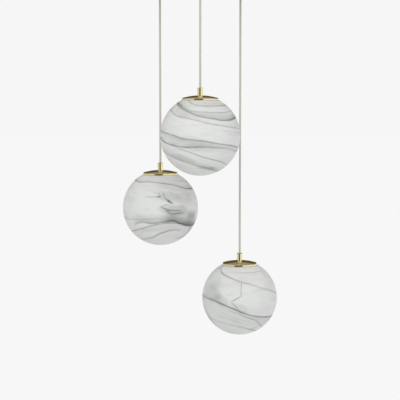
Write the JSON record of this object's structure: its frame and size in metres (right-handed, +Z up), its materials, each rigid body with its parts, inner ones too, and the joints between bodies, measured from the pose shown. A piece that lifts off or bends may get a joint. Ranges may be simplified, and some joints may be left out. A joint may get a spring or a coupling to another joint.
{
  "type": "cluster pendant light",
  "caption": "Round ceiling canopy with braided cords that carry marbled glass globes under gold caps, hung at different heights.",
  "frame": {"origin": "on the ceiling plane, at the middle of the ceiling bracket's two slots", "axes": "+Z up into the ceiling, X along the bracket, the highest pendant at -Y"},
  "size_m": [0.4113, 0.383, 0.928],
  "materials": {
    "gold_canopy": "polished gold plate on spun steel",
    "gold_fittings": "polished gold plate",
    "zinc_steel": "zinc plated",
    "spring_steel": "bright spring steel",
    "black_rubber": "matt",
    "clear_silicone": "translucent silicone",
    "white_nylon": "moulded nylon",
    "white_holder": "moulded thermoplastic",
    "plain_brass": "plain turned brass",
    "brown_lead": "extruded insulation",
    "blue_lead": "extruded insulation",
    "green_lead": "green and yellow insulation",
    "cord_fabric": "braided textile sleeve",
    "bulb_metal": "nickel plated screw cap",
    "frosted_bulb": "frosted",
    "marble_glass": "satin opal glass with grey marble veins"
  },
  "bodies": {
    "canopy": {"ceiling_bracket": "zinc_steel", "supply_grommet": "black_rubber", "canopy_cover": "gold_canopy", "canopy_studs": "zinc_steel", "stud_locknuts": "zinc_steel", "canopy_cap_nuts": "gold_fittings", "outlet_locknuts": "zinc_steel", "terminal_block": "white_nylon", "terminal_screws": "plain_brass", "live_leads": "brown_lead", "neutral_leads": "blue_lead", "earth_lead": "green_lead", "earth_screw": "plain_brass", "swivel_outlet_1": "gold_fittings", "swivel_outlet_2": "gold_fittings", "swivel_outlet_3": "gold_fittings"},
    "swivel_1": {"swivel_ball_1": "white_nylon"},
    "hanging_cord_1": {"cord_1": "cord_fabric"},
    "lamp_1": {"grip_tube_1": "gold_fittings", "grub_screw_1": "gold_fittings", "globe_cap_1": "gold_fittings", "globe_seal_1": "clear_silicone", "nipple_1": "zinc_steel", "clamp_nut_1": "zinc_steel", "spring_holder_1": "spring_steel", "lampholder_1": "white_holder", "holder_contacts_1": "plain_brass", "bulb_cap_1": "bulb_metal", "bulb_glass_1": "frosted_bulb"},
    "globe_1": {"glass_globe_1": "marble_glass"},
    "swivel_2": {"swivel_ball_2": "white_nylon"},
    "hanging_cord_2": {"cord_2": "cord_fabric"},
    "lamp_2": {"grip_tube_2": "gold_fittings", "grub_screw_2": "gold_fittings", "globe_cap_2": "gold_fittings", "globe_seal_2": "clear_silicone", "nipple_2": "zinc_steel", "clamp_nut_2": "zinc_steel", "spring_holder_2": "spring_steel", "lampholder_2": "white_holder", "holder_contacts_2": "plain_brass", "bulb_cap_2": "bulb_metal", "bulb_glass_2": "frosted_bulb"},
    "globe_2": {"glass_globe_2": "marble_glass"},
    "swivel_3": {"swivel_ball_3": "white_nylon"},
    "hanging_cord_3": {"cord_3": "cord_fabric"},
    "lamp_3": {"grip_tube_3": "gold_fittings", "grub_screw_3": "gold_fittings", "globe_cap_3": "gold_fittings", "globe_seal_3": "clear_silicone", "nipple_3": "zinc_steel", "clamp_nut_3": "zinc_steel", "spring_holder_3": "spring_steel", "lampholder_3": "white_holder", "holder_contacts_3": "plain_brass", "bulb_cap_3": "bulb_metal", "bulb_glass_3": "frosted_bulb"},
    "globe_3": {"glass_globe_3": "marble_glass"}
  },
  "joints": [
    {"name": "swing_front_back_1", "type": "hinge", "parent": "canopy", "child": "swivel_1", "pos_m": [0, -0.122, -0.0295], "axis": [1, 0, 0], "range_deg": [-10, 10]},
    {"name": "swing_sideways_1", "type": "hinge", "parent": "swivel_1", "child": "hanging_cord_1", "pos_m": [0, -0.122, -0.0295], "axis": [0, 1, 0], "range_deg": [-10, 10]},
    {"name": "turn_1", "type": "hinge", "parent": "hanging_cord_1", "child": "lamp_1", "pos_m": [0, -0.122, -0.2675], "axis": [0, 0, 1], "range_deg": [-180, 180]},
    {"name": "globe_release_1", "type": "slide", "parent": "lamp_1", "child": "globe_1", "axis": [0, 0, 1], "range_m": [-0.15, 0]},
    {"name": "swing_front_back_2", "type": "hinge", "parent": "canopy", "child": "swivel_2", "pos_m": [-0.10565, 0.061, -0.0295], "axis": [1, 0, 0], "range_deg": [-10, 10]},
    {"name": "swing_sideways_2", "type": "hinge", "parent": "swivel_2", "child": "hanging_cord_2", "pos_m": [-0.10565, 0.061, -0.0295], "axis": [0, 1, 0], "range_deg": [-10, 10]},
    {"name": "turn_2", "type": "hinge", "parent": "hanging_cord_2", "child": "lamp_2", "pos_m": [-0.10565, 0.061, -0.4665], "axis": [0, 0, 1], "range_deg": [-180, 180]},
    {"name": "globe_release_2", "type": "slide", "parent": "lamp_2", "child": "globe_2", "axis": [0, 0, 1], "range_m": [-0.15, 0]},
    {"name": "swing_front_back_3", "type": "hinge", "parent": "canopy", "child": "swivel_3", "pos_m": [0.10565, 0.061, -0.0295], "axis": [1, 0, 0], "range_deg": [-10, 10]},
    {"name": "swing_sideways_3", "type": "hinge", "parent": "swivel_3", "child": "hanging_cord_3", "pos_m": [0.10565, 0.061, -0.0295], "axis": [0, 1, 0], "range_deg": [-10, 10]},
    {"name": "turn_3", "type": "hinge", "parent": "hanging_cord_3", "child": "lamp_3", "pos_m": [0.10565, 0.061, -0.7085], "axis": [0, 0, 1], "range_deg": [-180, 180]},
    {"name": "globe_release_3", "type": "slide", "parent": "lamp_3", "child": "globe_3", "axis": [0, 0, 1], "range_m": [-0.15, 0]}
  ]
}
